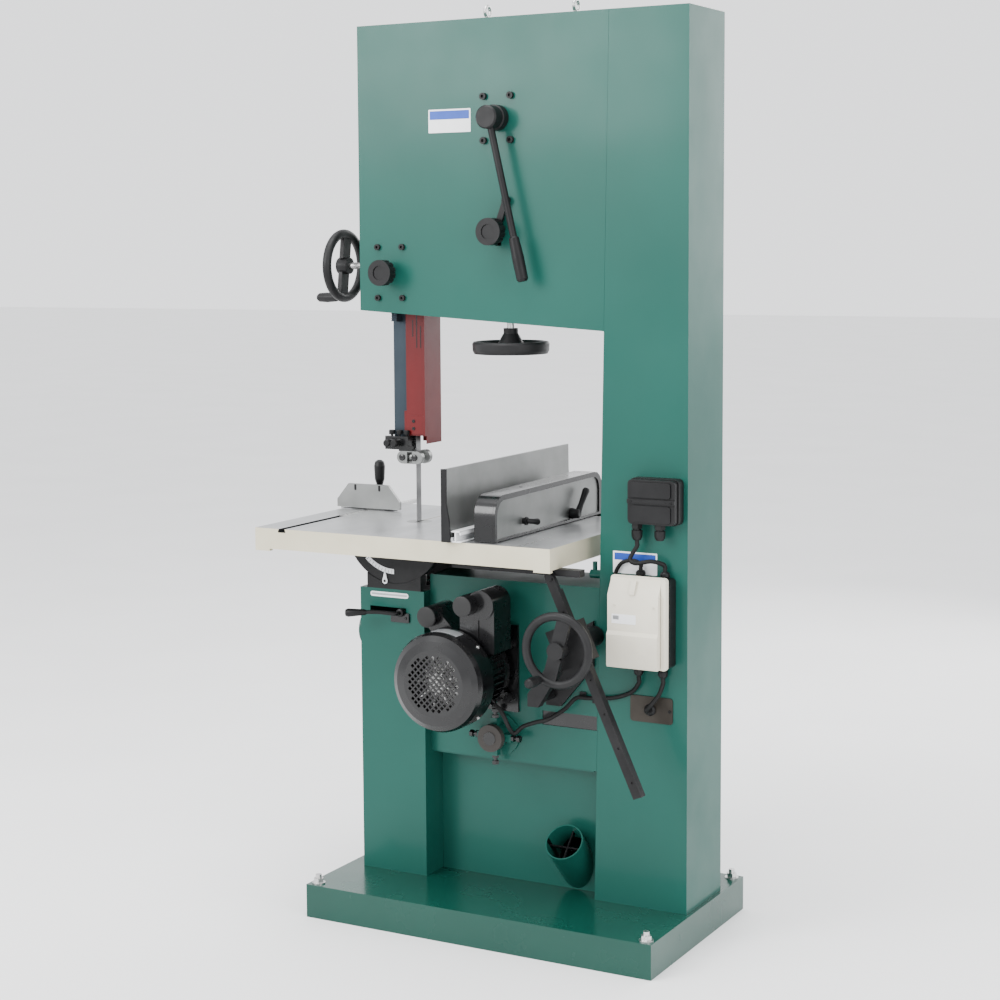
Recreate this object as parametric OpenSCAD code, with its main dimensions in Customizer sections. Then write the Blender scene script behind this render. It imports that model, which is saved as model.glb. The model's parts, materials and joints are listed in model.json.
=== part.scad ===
// Floor-standing wood-cutting band saw, built as separate pieces.
// Origin: centre of the base at floor level. +X points to the free (blade) side,
// +Y to the rear (motor) side, +Z up. All sizes in millimetres.

/* [Base] */
// Base tray length, side to side
base_w = 997; // [960:1:1040]
// Base tray depth, front to rear
base_d = 605; // [580:1:640]
// Base tray height
base_h = 89; // [80:1:100]

/* [Body] */
// Height of the top of the column above the floor
top_z = 2350; // [2345:1:2400]
// Sheet thickness of the column, housings and pedestal
wall = 4; // [3:0.5:5]
// Distance of the column's outer side from the middle
col_out = 487; // [485:1:492]
// Rear face of the column and housings
rear_y = 57; // [57:0.5:58]
// Front face of the column
front_y = -169.5; // [-172:0.5:-169]
// Height of the pedestal's top
ped_top = 861; // [858:1:862]

/* [Wheels] */
// Outer radius of a wheel with its tyre
wheel_r = 304.2; // [303:0.1:304.5]
// Height of the lower wheel's axis
low_z = 496; // [494:1:498]
// Height of the upper wheel's axis
up_z = 1950; // [1945:1:1952]
// Distance of both wheel axes from the middle
wheel_x = 40; // [39:0.5:41]
// Middle plane of wheels and blade
blade_y = -48; // [-49:0.5:-47]
// Width of a wheel rim
rim_w = 30; // [28:1:31]

/* [Blade] */
// Blade width, teeth to back
blade_w = 25; // [19:1:25]
// Blade thickness
blade_t = 0.9; // [0.7:0.05:1]

/* [Table] */
// Height of the table's top
table_z = 1027; // [1025:0.5:1028]
// Thickness of the table plate
plate_t = 15; // [14:0.5:15]
// Depth of the table's skirt, with the plate
skirt_h = 55; // [50:1:55]

/* [Motor] */
// Height of the motor's axis
motor_z = 668; // [666:1:672]
// Distance of the motor's axis from the middle
motor_x = 105; // [103:1:108]
// Radius of the motor's fan shroud
shroud_r = 129; // [120:1:130]

/* [Fence] */
// Height of the fence face above the table
fence_h = 186; // [150:1:188]

/* [Hidden] */
$fn = 48;
green = "seagreen";
black = "#2a2a2c";
steel = "silver";
iron = "#55585c";
cream = "#d8d2bd";
red = "firebrick";
// Column: its inner side leans outwards towards the base
col_in_top = 273.6;
col_in_foot = 231;
function col_in(z) = col_in_foot + (z - base_h) / (2350 - base_h) * (col_in_top - col_in_foot);
channel_x = -300;      // partition between the closed box and the blade channel
door_seat_y = -150;    // plane on which both doors close
// Upper housing: free side and sloping bottom
up_free = 459;
up_low_free = 1603;
up_low_col = 1557;
function up_low(x) = up_low_col + (x + 259) / (up_free + 259) * (up_low_free - up_low_col);
joint_gap = 0.5;
// Pedestal and lower housing
ped_in = 252;
ped_out = 450;
ped_rear = 90;
low_top = 905;
beam_z = 428;
panel_y = 0;
dust_z = 163;
// Blade and guides
// gap between tyre and blade, so that the tilted wheel clears it
blade_gap = 0.8;
blade_x = wheel_x + wheel_r + blade_gap;
blade_mid = blade_x + blade_t / 2;
roller_r = 19;
roller_gap = 0.25;
up_roller_z = 1206;
low_roller_z = 928;
// Quick-release lever and tracking knob
lever_z = 2096;
lever_lean = 13;
lever_len = 425;
track_z = 1808;
screw_y = -10;
// Guide post and its drive
post_x = [368, 408];
post_y = [-68, -28];
post_z = [1262, 1925];
lock_z = 1703.5;
pinion_z = 1721;
pinion_y = 23;
gear_mod = 2;
guide_teeth = 20;
// lifting eyes on the upper housing
eye_x = [124, -132];
// first and last tooth of the post's rack and of the tilt bar's, counted from the pinion
post_teeth = [-24, 23];
bar_teeth = [-65, 21];
// Column side of the blade guard, clear of the fence when the table is tilted
guard_x = 303;
// Table
tab_x = [-200, 683];
tab_y = [-355, 245];
skirt_t = 14;
slot_x = 597.5;
insert_r = 34;
trun_r = 150;
trun_rear = [62, 88];
trun_front = [-165, -139];
// Tilt rack: pinion axis, lean of the bar from vertical and its ends along the bar
tilt_x = -234;
tilt_z = 782;
rack_lean = 24.4;
rack_up = 186;
rack_down = -408;
tilt_teeth = 16;
// Mitre gauge
miter_y = -215;
// Motor
pulley_y = [-28, -8];
motor_pulley_r = 45;
wheel_pulley_r = 112;
belt_gap = 0.3;
// Capacitors: centre of the rounded end in X and Z, lean and length
capacitors = [[53, 862, 0, 128], [167, 823, 45, 113]];
cap_r = 27;
belt_t = 6;

// A block given by its two ends along each axis
module block(x, y, z) {
    translate([x[0], y[0], z[0]]) cube([x[1] - x[0], y[1] - y[0], z[1] - z[0]]);
}
// Round bars along each axis
module bar_x(x, y, z, r) { translate([x[0], y, z]) rotate([0, 90, 0]) cylinder(h = x[1] - x[0], r = r); }
module bar_y(x, y, z, r) { translate([x, y[0], z]) rotate([-90, 0, 0]) cylinder(h = y[1] - y[0], r = r); }
module bar_z(x, y, z, r) { translate([x, y, z[0]]) cylinder(h = z[1] - z[0], r = r); }
// An outline in X and Z, given depth along Y
module slab_y(y) {
    translate([0, y[1], 0]) rotate([90, 0, 0]) linear_extrude(height = y[1] - y[0]) children();
}
// A solid turned about an axis along Y through (x, z); local +Z becomes +Y
module turned_y(x, z) { translate([x, 0, z]) rotate([-90, 0, 0]) children(); }
module socket_bolt(r, h) {
    difference() {
        cylinder(h = h, r = r);
        translate([0, 0, h - r * 0.6]) cylinder(h = r, r = r * 0.5, $fn = 6);
    }
}
module hex_bolt(across, h) { cylinder(h = h, r = across / 2 / cos(30), $fn = 6); }

// Spur gear outline with straight-sided teeth
module gear2d(teeth, m) {
    pitch = teeth * m / 2;
    half = 360 / teeth / 4;
    polygon([for (i = [0:teeth - 1], p = [[-1.5, -1.2], [-0.5, 0.9], [0.5, 0.9], [1.5, -1.2]])
        let (a = i * 360 / teeth + p[0] * half * 0.8, r = pitch + p[1] * m) [r * cos(a), r * sin(a)]]);
}
// Rack outline: teeth point to +X from the pitch line at x = 0, a gap is centred on y = 0
module rack2d(first, last, m, back) {
    p = PI * m;
    polygon(concat([[-back, first * p]],
        [for (i = [first:last], q = [[0.27, -1.25], [0.41, 0.8], [0.59, 0.8], [0.73, -1.25]])
            [q[1] * m, (i + q[0]) * p]],
        [[-back, (last + 1) * p]]));
}

// ---------------------------------------------------------------- frame
module base_tray() {
    color(green) {
        difference() {
            block([-base_w / 2, base_w / 2], [-base_d / 2, base_d / 2], [0, base_h]);
            block([-base_w / 2 + 5, base_w / 2 - 5], [-base_d / 2 + 5, base_d / 2 - 5], [-1, base_h - 6]);
            for (x = [-1, 1], y = [-1, 1]) bar_z(x * 475, y * 278, [0, base_h + 1], 8.5);
        }
        // channel-shaped stiffener across the middle, down to the floor
        block([-base_w / 2 + 4, base_w / 2 - 4], [-40, 40], [0, 5]);
        for (y = [-40, 35]) block([-base_w / 2 + 4, base_w / 2 - 4], [y, y + 5], [4, base_h - 5]);
    }
}
module levelling_bolt() {
    cylinder(h = base_h + 4, r = 8);
    translate([0, 0, base_h]) cylinder(h = 3, r = 18);
    translate([0, 0, base_h + 3]) hex_bolt(24, 11);
    translate([0, 0, base_h + 14]) cylinder(h = 10, r = 8);
}
module eye_bolt(x) {
    translate([x, -50, top_z]) {
        cylinder(h = 4, r = 14);
        cylinder(h = 12, r = 7);
        translate([0, 0, 27]) rotate([0, 90, 0]) rotate([0, 0, 90])
            rotate_extrude() translate([14, 0]) circle(r = 4.5);
    }
}
module fasteners() {
    color(steel) {
        for (x = [-1, 1], y = [-1, 1]) translate([x * 475, y * 278, 0]) levelling_bolt();
        for (x = eye_x) eye_bolt(x);
    }
    color(black) {
        for (x = [1, 79], z = [2040, 2152]) turned_y(x, z) translate([0, 0, rear_y]) socket_bolt(9, 9);
        for (x = [326, 401.5], z = [1636.5, 1770.5]) turned_y(x, z) translate([0, 0,
            rear_y]) socket_bolt(8, 8);
        for (x = [-290, -272], z = [960, 1495]) translate([x, front_y, z]) rotate([90, 0,
            0]) socket_bolt(6, 6);
    }
}
module column() {
    outer = [[-col_out, base_h], [-col_in(base_h), base_h], [-col_in(top_z), top_z], [-col_out, top_z]];
    inner = [[wall - col_out, base_h + wall], [-col_in(base_h) - wall, base_h + wall],
        [-col_in(top_z) - wall, top_z - wall], [wall - col_out, top_z - wall]];
    color(green) {
        difference() {
            slab_y([front_y, rear_y]) polygon(outer);
            slab_y([front_y + wall, rear_y - wall]) polygon(inner);
            block([channel_x, 0], [front_y - 1, door_seat_y], [base_h - 1, top_z + 1]);
            block([-295, 0], [door_seat_y - 1, 40], [up_low_col + 12, top_z - 12]);
            block([-295, 0], [door_seat_y - 1, -12], [150, 880]);
        }
        block([channel_x - wall, channel_x], [front_y + wall - 0.5, rear_y - wall + 0.5],
            [base_h + wall - 0.5, top_z - wall + 0.5]);
        // stop lug under the table
        bar_x([-col_in(945) - 1, -205], 20, 934, 11);
        bar_z(-216, 20, [934, 966], 6);
    }
}
module channel_cover() {
    color(green) {
        block([channel_x + 2, -262], [front_y, front_y + 3], [900, 1540]);
        block([channel_x + 2, channel_x + 5], [front_y + 3, door_seat_y], [900, 1540]);
        block([-265, -262], [front_y + 3, door_seat_y], [900, 1540]);
    }
}
module upper_housing() {
    g = joint_gap;
    outer = [[g - col_in(up_low_col), up_low_col], [up_free, up_low_free], [up_free, top_z],
        [g - col_in(top_z), top_z]];
    inner = [[-600, up_low(-600) + wall], [up_free - wall, up_low(up_free - wall) + wall],
        [up_free - wall, top_z - wall], [-600, top_z - wall]];
    color(green) {
        difference() {
            slab_y([door_seat_y, rear_y]) polygon(outer);
            slab_y([door_seat_y - 1, rear_y - wall]) polygon(inner);
            bar_y(wheel_x, [0, 80], lever_z, 13);
            block([wheel_x - 9, wheel_x + 9], [0, 80], [track_z - 36, track_z + 8]);
            bar_y(364, [0, 80], lock_z, 7);
            bar_x([400, 500], pinion_y, pinion_z, 9.1);
            bar_z(wheel_x, screw_y, [1500, 1640], 16);
            block([290, 412], [-104, -18], [1500, 1640]);
            block([376, 400], [-20, 8], [1500, 1640]);
        }
        // slide rails for the tension carriage, guide box for the post
        for (x = [[-66, -48], [128, 146]]) block(x, [18, rear_y - wall + 0.5], [1640, 2180]);
        difference() {
            block([358, 418], [-78, rear_y - wall + 0.5], [1640, 1690]);
            block([post_x[0] - 0.3, post_x[1] + 0.3], [post_y[0] - 0.3, post_y[1] + 0.3], [1600, 1700]);
            block([362, 414], [post_y[1] - 1, rear_y - wall - 4], [1600, 1700]);
            block([349, 367.5], [-27, -19], [1600, 1700]);
        }
    }
}
module lower_housing() {
    g = joint_gap;
    color(green) {
        difference() {
            slab_y([door_seat_y, rear_y]) polygon([[g - col_in(beam_z), beam_z], [ped_in - g, beam_z],
                [ped_in - g, low_top], [g - col_in(low_top), low_top]]);
            block([-400, 400], [door_seat_y - 1, rear_y - wall], [beam_z - 1, low_top - wall]);
            bar_y(motor_x, [0, 80], motor_z, 30);
            bar_y(wheel_x, [0, 80], low_z, 30.1);
            block([-238, -82], [rear_y - 2.5, rear_y + 1], [534, 571]);
        }
        block([-col_in(300) + 7, ped_in - g], [panel_y - wall, rear_y - wall + 0.5], [beam_z - wall,
            beam_z]);
        difference() {
            block([-col_in(300) + 7, ped_in - g], [panel_y - wall, panel_y], [base_h, beam_z - wall + 0.5]);
            translate([-150, 0, dust_z]) rotate([-45, 0, 0]) cylinder(h = 200, r = 48, center = true);
        }
        rear_dust_port();
    }
}
// Stub of pipe that leans up and away from the recessed panel
module rear_dust_port() {
    difference() {
        translate([-150, 0, dust_z]) rotate([-45, 0, 0]) difference() {
            translate([0, 0, -60]) cylinder(h = 160, r = 51);
            translate([0, 0, -61]) cylinder(h = 162, r = 48);
        }
        block([-300, 0], [-200, panel_y - wall], [0, 500]);
        block([-300, 0], [-200, 200], [0, base_h]);
    }
    translate([-150, 0, dust_z]) rotate([-45, 0, 0]) for (a = [0, 90]) rotate([0, 0, a])
        translate([-49, -2, 60]) cube([98, 4, 12]);
}
module pedestal() {
    color(green) difference() {
        union() {
            difference() {
                block([ped_in, ped_out], [door_seat_y, ped_rear], [base_h, ped_top]);
                block([ped_in + wall, ped_out - wall], [front_y, ped_rear - wall], [base_h - 1,
                    ped_top - wall]);
                block([ped_in - 1, ped_in + wall + 1], [front_y, panel_y - wall], [base_h - 1,
                    ped_top - wall]);
                block([308, 420], [ped_rear - wall - 1, ped_rear + 1], [790, 812]);
                block([blade_x - 12, blade_x + 12], [-90, -10], [ped_top - 10, ped_top + 1]);
            }
            side_dust_port();
        }
        bar_x([ped_out - wall - 1, 500], 0, 732, 48);
    }
}
module side_dust_port() {
    bar_x([ped_out, ped_out + 6], 0, 732, 66);
    bar_x([ped_out, ped_out + 32], 0, 732, 51);
}
module lower_trunnion() {
    color(iron) for (y = [trun_rear, trun_front]) difference() {
        block([262, 428], [y[0] - 4, min(y[1] + 2, ped_rear)], [ped_top, 912]);
        bar_y(345, [y[0] - 5, y[1] + 3], table_z, trun_r + 0.4);
    }
    color(iron) block([262, 290], [trun_front[0] - 4, ped_rear], [ped_top, ped_top + 12]);
}
// ---------------------------------------------------------------- lower shaft and its adjuster
module lower_shaft() {
    color(steel) {
        bar_y(wheel_x, [-95, 124], low_z, 17.5);
        bar_y(wheel_x, [-101, -95], low_z, 24);
    }
}
module hub_adjuster() {
    color(green) difference() {
        union() {
            bar_y(wheel_x, [rear_y - wall - 8, 100], low_z, 30);
            bar_y(wheel_x, [rear_y, rear_y + 6], low_z, 56);
            for (a = [0:90:270]) translate([wheel_x, 0, low_z]) rotate([0, a, 0])
                block([26, 50], [80, 98], [-10, 10]);
        }
        bar_y(wheel_x, [0, 130], low_z, 17.5);
        for (a = [0:90:270]) translate([wheel_x, 89, low_z]) rotate([0, a, 0]) rotate([0, 90, 0])
            translate([0, 0, 17]) cylinder(h = 60, r = 5);
    }
    color(steel) difference() {
        bar_y(wheel_x, [104, 122], low_z, 35.5);
        bar_y(wheel_x, [100, 130], low_z, 17.5);
    }
    color(black) for (a = [0:90:270]) translate([wheel_x, 89, low_z]) rotate([0, a, 0]) rotate([0, 90, 0]) {
        translate([0, 0, 17.6]) cylinder(h = 50, r = 5);
        translate([0, 0, 50]) hex_bolt(17, 7);
        translate([0, 0, 65]) hex_bolt(17, 9);
    }
}
// Guide rollers either side of the blade and one behind it; z is their height
module guide_rollers(z) {
    for (x = [blade_x - roller_gap - roller_r, blade_x + blade_t + roller_gap + roller_r])
        difference() {
            bar_y(x, [-57, -43], z, roller_r);
            bar_y(x, [-58, -53], z, 9);
        }
    bar_x([blade_mid - 7, blade_mid + 7], blade_y + blade_w / 2 + roller_gap + 14, z, 14);
}
module guide_plate(z) {
    difference() {
        union() {
            block([323, 368], [-14, 0], [z - 17, z + 17]);
            for (x = [323, 368]) bar_y(x, [-14, 0], z, 17);
            for (x = [blade_x - roller_gap - roller_r, blade_x + blade_t + roller_gap + roller_r])
                bar_y(x, [-43, -14], z, 6);
        }
        block([blade_mid - 8, blade_mid + 8], [-15, 1], [z - 15, z + 15]);
    }
    block([blade_mid - 9, blade_mid - 7], [-26, -14], [z - 6, z + 6]);
    block([blade_mid + 7, blade_mid + 9], [-26, -14], [z - 6, z + 6]);
}
module lower_guide() {
    color(steel) guide_rollers(low_roller_z);
    color(iron) {
        guide_plate(low_roller_z);
        block([300, 312], [-8, 50], [ped_top + 2, low_roller_z]);
        block([290.5, 312], [-8, 50], [ped_top, ped_top + 12]);
    }
}
// ---------------------------------------------------------------- motor
module motor_mount() {
    color(black) {
        difference() {
            block([-15, 225], [rear_y, rear_y + 8], [560, 790]);
            bar_y(motor_x, [0, 80], motor_z, 32);
        }
        for (x = [10, 200]) bar_y(x, [rear_y + 8, 80], 600, 14);
        for (x = [10, 200]) bar_y(x, [rear_y + 8, 80], 740, 14);
    }
}
module motor_body() {
    fins = 36;
    color(black) difference() {
        union() {
            turned_y(motor_x, motor_z) {
                translate([0, 0, 80]) cylinder(h = 24, r = 104);
                translate([0, 0, 104]) linear_extrude(height = 122) union() {
                    circle(r = 92);
                    for (i = [0:fins - 1]) rotate(i * 360 / fins) translate([0, -2]) square([103, 4]);
                }
            }
        }
        bar_y(motor_x, [70, 240], motor_z, 40);
    }
    color(black) {
        // two capacitors with rounded tops and a larger housing behind them
        for (c = capacitors) translate([c[0], 112, c[1]]) rotate([0, c[2], 0]) {
            bar_y(0, [0, c[3]], 0, cap_r);
            block([-cap_r, cap_r], [0, 91], [-100, 0]);
        }
        bar_y(20, [110, 205], 862, 38);
        block([-18, 58], [110, 200], [738, 862]);
        // gland for the motor's cord
        translate([motor_x, 150, motor_z]) rotate([0, -atan2(0.8, -0.6), 0]) bar_z(0, 0, [88, 120], 10);
    }
}
module fan_shroud() {
    color(black) turned_y(motor_x, motor_z) difference() {
        rotate_extrude($fn = 72) polygon([[107, 205], [shroud_r, 212], [shroud_r, 272],
            [shroud_r - 6, 286], [shroud_r - 20, 295], [86, 300], [0, 300], [0, 297], [84, 297],
            [shroud_r - 22, 292], [shroud_r - 8, 284], [shroud_r - 3, 272], [shroud_r - 3, 214], [107,
                208]]);
        for (ix = [-6:6], iy = [-6:6]) if (norm([ix, iy]) < 6.3) rotate([0, 0, 45])
            translate([ix * 12 - 4, iy * 12 - 4, 290]) cube([8, 8, 20]);
    }
}
module motor_rotor() {
    color(steel) turned_y(motor_x, motor_z) {
        translate([0, 0, -32]) cylinder(h = 320, r = 12);
        for (i = [0:8]) rotate(i * 40) translate([10, -1.5, 246]) cube([84, 3, 32]);
        translate([0, 0, 242]) cylinder(h = 4, r = 96);
        translate([0, 0, 246]) cylinder(h = 34, r = 24);
    }
    color(iron) difference() {
        turned_y(motor_x, motor_z) rotate_extrude() polygon([[12, pulley_y[0]],
            [motor_pulley_r + 3, pulley_y[0]], [motor_pulley_r + 3, pulley_y[0] + 2],
            [motor_pulley_r, pulley_y[0] + 2], [motor_pulley_r, pulley_y[1] - 2],
            [motor_pulley_r + 3, pulley_y[1] - 2], [motor_pulley_r + 3, pulley_y[1]], [12, pulley_y[1]]]);
        bar_y(motor_x, [-40, 10], motor_z, 12);
    }
}
// Outline round two pulleys of radius a and b, the second at distance d along +X
module belt2d(a, b, d) {
    hull() {
        circle(r = a, $fn = 96);
        translate([d, 0]) circle(r = b, $fn = 96);
    }
}
module drive_belt() {
    dx = motor_x - wheel_x;
    dz = motor_z - low_z;
    a = wheel_pulley_r + belt_gap;
    b = motor_pulley_r + belt_gap;
    color(black) slab_y([pulley_y[0] + 2.3, pulley_y[1] - 2.3]) translate([wheel_x, low_z])
        rotate(atan2(dz, dx)) difference() {
            belt2d(a + belt_t, b + belt_t, norm([dx, dz]));
            belt2d(a, b, norm([dx, dz]));
        }
}
// ---------------------------------------------------------------- wheels and blade
module spoked_wheel(z, bore) {
    color(iron) turned_y(wheel_x, z) difference() {
        union() {
            difference() {
                translate([0, 0, blade_y - rim_w / 2]) cylinder(h = rim_w, r = wheel_r - 4.5, $fn = 96);
                translate([0, 0, blade_y - rim_w / 2 - 1]) cylinder(h = rim_w + 2, r = wheel_r - 24,
                    $fn = 96);
            }
            translate([0, 0, blade_y - 5]) cylinder(h = 10, r = wheel_r - 20, $fn = 96);
            translate([0, 0, blade_y - 27]) cylinder(h = 45, r = 42);
        }
        translate([0, 0, -120]) cylinder(h = 160, r = bore);
        for (i = [0:5]) rotate(i * 60) translate([160, 0, blade_y - 6]) cylinder(h = 12, r = 62);
    }
}
module wheel_tyre(z) {
    color(black) turned_y(wheel_x, z) difference() {
        translate([0, 0, blade_y - rim_w / 2]) cylinder(h = rim_w, r = wheel_r, $fn = 96);
        translate([0, 0, blade_y - rim_w / 2 - 1]) cylinder(h = rim_w + 2, r = wheel_r - 4.5, $fn = 96);
    }
}
module upper_wheel() { spoked_wheel(up_z, 15.05); }
module upper_tyre() { wheel_tyre(up_z); }
module lower_wheel() { spoked_wheel(low_z, 17.55); }
module lower_tyre() { wheel_tyre(low_z); }
module wheel_pulley() {
    color(iron) difference() {
        turned_y(wheel_x, low_z) rotate_extrude($fn = 96) polygon([[17.6, -30],
            [60, -30], [60, pulley_y[0]], [wheel_pulley_r + 3, pulley_y[0]],
            [wheel_pulley_r + 3, pulley_y[0] + 2], [wheel_pulley_r, pulley_y[0] + 2],
            [wheel_pulley_r, pulley_y[1] - 2], [wheel_pulley_r + 3, pulley_y[1] - 2],
            [wheel_pulley_r + 3, pulley_y[1]], [wheel_pulley_r - 14, pulley_y[1]],
            [wheel_pulley_r - 14, -17], [40, -17], [40, pulley_y[1]], [17.6, pulley_y[1]]]);
        for (i = [0:4]) translate([wheel_x, 0, low_z]) rotate([0, i * 72, 0]) bar_y(70, [-40, 0], 0, 16);
    }
}
module blade() {
    r = wheel_r + blade_gap;
    y = [blade_y - blade_w / 2, blade_y + blade_w / 2];
    color(steel) {
        difference() {
            slab_y(y) translate([wheel_x, 0]) union() {
                for (z = [low_z, up_z]) translate([0, z]) circle(r = r + blade_t, $fn = 120);
                translate([-r - blade_t, low_z]) square([2 * (r + blade_t), up_z - low_z]);
            }
            slab_y([y[0] - 1, y[1] + 1]) translate([wheel_x, 0]) union() {
                for (z = [low_z, up_z]) translate([0, z]) circle(r = r, $fn = 120);
                translate([-r, low_z]) square([2 * r, up_z - low_z]);
            }
        }
    }
}
// ---------------------------------------------------------------- blade tension and tracking
module tension_carriage() {
    color(iron) difference() {
        union() {
            block([-47, 127], [36, rear_y - wall - 1], [1612, 2165]);
            block([0, 80], [screw_y - 14, 40], [1612, 1640]);
            bar_z(wheel_x, screw_y, [1638, 1676], 13);
            bar_z(wheel_x, screw_y, [1672, 1676], 17);
        }
        block([-12, 92], [30, 60], [1668, 2050]);
        block([wheel_x - 37, wheel_x + 37], [30, 60], [2049, lever_z + 38]);
        bar_z(wheel_x, screw_y, [1600, 1680], 10.06);
    }
}
module tension_spring() {
    discs = 8;
    step = 40 / discs;
    color(steel) translate([wheel_x, screw_y, 1676]) rotate_extrude() polygon(concat(
        [for (i = [0:discs]) [i % 2 == 0 ? 14.5 : 17, i * step]],
        [for (i = [discs:-1:0]) [i % 2 == 0 ? 10.5 : 13, i * step]]));
}
module tension_handwheel() {
    color(steel) {
        bar_z(wheel_x, screw_y, [1500, 1766], 10);
        bar_z(wheel_x, screw_y, [1716, 1723], 17);
        bar_z(wheel_x, screw_y, [1600, 1611.5], 15);
    }
    color(black) translate([wheel_x, screw_y, 0]) difference() {
        union() {
            rotate_extrude($fn = 96) polygon([[80, 1496], [86, 1492], [96, 1492], [100, 1500],
                [101, 1518], [98, 1523], [92, 1524], [82, 1518]]);
            difference() {
                translate([0, 0, 1500]) cylinder(h = 44, r1 = 44, r2 = 20);
                translate([0, 0, 1499]) cylinder(h = 60, r = 10);
            }
            difference() {
                translate([0, 0, 1544]) cylinder(h = 14, r = 19);
                translate([0, 0, 1499]) cylinder(h = 60, r = 10);
            }
            for (a = [0:120:240]) rotate(a) translate([24, -11, 1502]) cube([62, 22, 10]);
        }
        translate([0, 0, 1480]) cylinder(h = 19.9, r = 30);
    }
}
module wheel_bracket() {
    color(iron) difference() {
        union() {
            block([-12, 92], [5, 33], [1742, 2010]);
            block([5, 75], [screw_y - 13, 10], [1742, 1784]);
            for (x = [[-5, 10], [70, 85]]) block(x, [-22, 6], [up_z - 14, up_z + 14]);
        }
        bar_z(wheel_x, screw_y, [1700, 1790], 10.06);
        bar_y(wheel_x, [-10, 60], track_z, 6.05);
        bar_x([-20, 100], -10, up_z, 6);
    }
    color(steel) bar_x([-5, 85], -10, up_z, 6);
}
module tracking_block() {
    color(iron) difference() {
        union() {
            block([12, 68], [-19, 0], [1790, 1985]);
            bar_x([12, 68], -10, up_z, 11);
        }
        bar_x([0, 80], -10, up_z, 6.06);
    }
    color(steel) difference() {
        bar_y(wheel_x, [-88, -18.5], up_z, 15);
        bar_x([0, 80], -10, up_z, 6.06);
    }
    color(steel) bar_y(wheel_x, [-92, -86], up_z, 22);
}
// Fluted hand knob turned about its own axis, outer radius r and height h
module fluted_knob(r, h) {
    difference() {
        cylinder(h = h, r = r);
        for (i = [0:11]) rotate(i * 30) translate([r + 2.5, 0, -1]) cylinder(h = h - 5, r = 5);
        translate([0, 0, h - 3]) cylinder(h = 4, r = r * 0.55);
    }
}
module tracking_knob() {
    color(black) turned_y(wheel_x, track_z) {
        translate([0, 0, 82]) fluted_knob(35, 32);
        translate([0, 0, 74]) cylinder(h = 9, r = 16);
    }
    color(steel) bar_y(wheel_x, [3.5, 82], track_z, 6);
}
module tracking_lever() {
    color(black) turned_y(wheel_x, track_z) difference() {
        union() {
            translate([0, 0, 62]) cylinder(h = 11, r = 17);
            rotate([0, 0, 180 + 70]) translate([0, -8, 62]) cube([84, 16, 10]);
            rotate([0, 0, 180 + 70]) translate([84, 0, 62]) cylinder(h = 10, r = 11);
        }
        translate([0, 0, 50]) cylinder(h = 40, r = 6.06);
    }
}
module release_lever() {
    cam_rise = 8;
    color(steel) bar_y(wheel_x, [20, 92], lever_z, 12.5);
    color(iron) bar_y(wheel_x, [37, 51], lever_z + cam_rise, 26);
    color(black) translate([wheel_x, 0, lever_z]) {
        turned_y(0, 0) rotate_extrude() polygon([[12.5, rear_y + 1], [33, rear_y + 1], [33, 82], [30, 84],
            [30, 118], [26, 122], [0, 122], [0, 92], [12.5, 92]]);
        rotate([0, lever_lean, 0]) {
            bar_z(0, 104, [-(lever_len - 112), -28], 9);
            translate([0, 104, -lever_len]) rotate_extrude() polygon([[0, 0], [11, 0], [15, 6],
                [15.5, 60], [13, 112], [9, 116], [0, 116]]);
        }
    }
}
// ---------------------------------------------------------------- guide post and upper guides
module guide_post() {
    p = PI * gear_mod;
    color(iron) difference() {
        block(post_x, post_y, post_z);
        block([post_x[0] + 6, post_x[1] - 6], [post_y[0] - 1, post_y[1] - 7], [post_z[0] + 30,
            post_z[1] + 1]);
    }
    color(steel) translate([388 - 8, pinion_y - guide_teeth * gear_mod / 2, pinion_z]) rotate([90, 0, 90])
        linear_extrude(height = 16) rack2d(post_teeth[0], post_teeth[1], gear_mod,
            pinion_y - guide_teeth * gear_mod / 2 - post_y[1]);
}
module blade_guard() {
    t = 2;
    color(red) {
        block([guard_x, 366], [-24, -22], [1264, 1610]);
        block([guard_x, guard_x + t], [-100, -22], [1243, 1610]);
        block([guard_x, 360], [-100, -98], [1243, 1610]);
        block([349.5, 357], [-24, -22], [1600, 1770]);
        block([340, 374], [-27.9, -24], [1275, 1330]);
    }
}
module upper_guide() {
    color(steel) {
        guide_rollers(up_roller_z);
        guide_plate(up_roller_z);
    }
    color(black) {
        block([352, 424], [-66, -4], [up_roller_z + 20, 1262]);
        block([340, 380], [-12, -2], [up_roller_z + 16, up_roller_z + 30]);
        for (x = [384, 406]) bar_y(x, [-4, 14], 1244, 9);
    }
}
module handwheel(r, rim_r) {
    difference() {
        union() {
            rotate_extrude($fn = 96) translate([r - rim_r, 0]) circle(r = rim_r, $fn = 24);
            translate([0, 0, -18]) cylinder(h = 32, r = 22);
            for (a = [0, 180]) rotate(a) translate([18, -18, -6]) cube([r - rim_r - 18, 36, 12]);
        }
        translate([0, 0, -19]) cylinder(h = 40, r = 7);
    }
    translate([0, 0, -18]) cylinder(h = 32, r = 7);
}
module crank(r, len) {
    translate([r, 0, 0]) {
        cylinder(h = 12, r = 6);
        translate([0, 0, 12]) rotate_extrude() polygon([[0, 0], [8, 0], [11, 6], [13.5, len * 0.55],
            [12, len - 6], [8, len], [0, len]]);
    }
}
module guide_handwheel() {
    color(black) translate([530, pinion_y, pinion_z]) rotate([0, 90, 0]) {
        rotate([0, 0, 8]) handwheel(98, 12);
        rotate([0, 0, 8]) crank(86, 66);
    }
    color(steel) {
        bar_x([370, 514], pinion_y, pinion_z, 9);
        translate([378, pinion_y, pinion_z]) rotate([90, 0, 90])
            linear_extrude(height = 20) gear2d(guide_teeth, gear_mod);
    }
}
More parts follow.
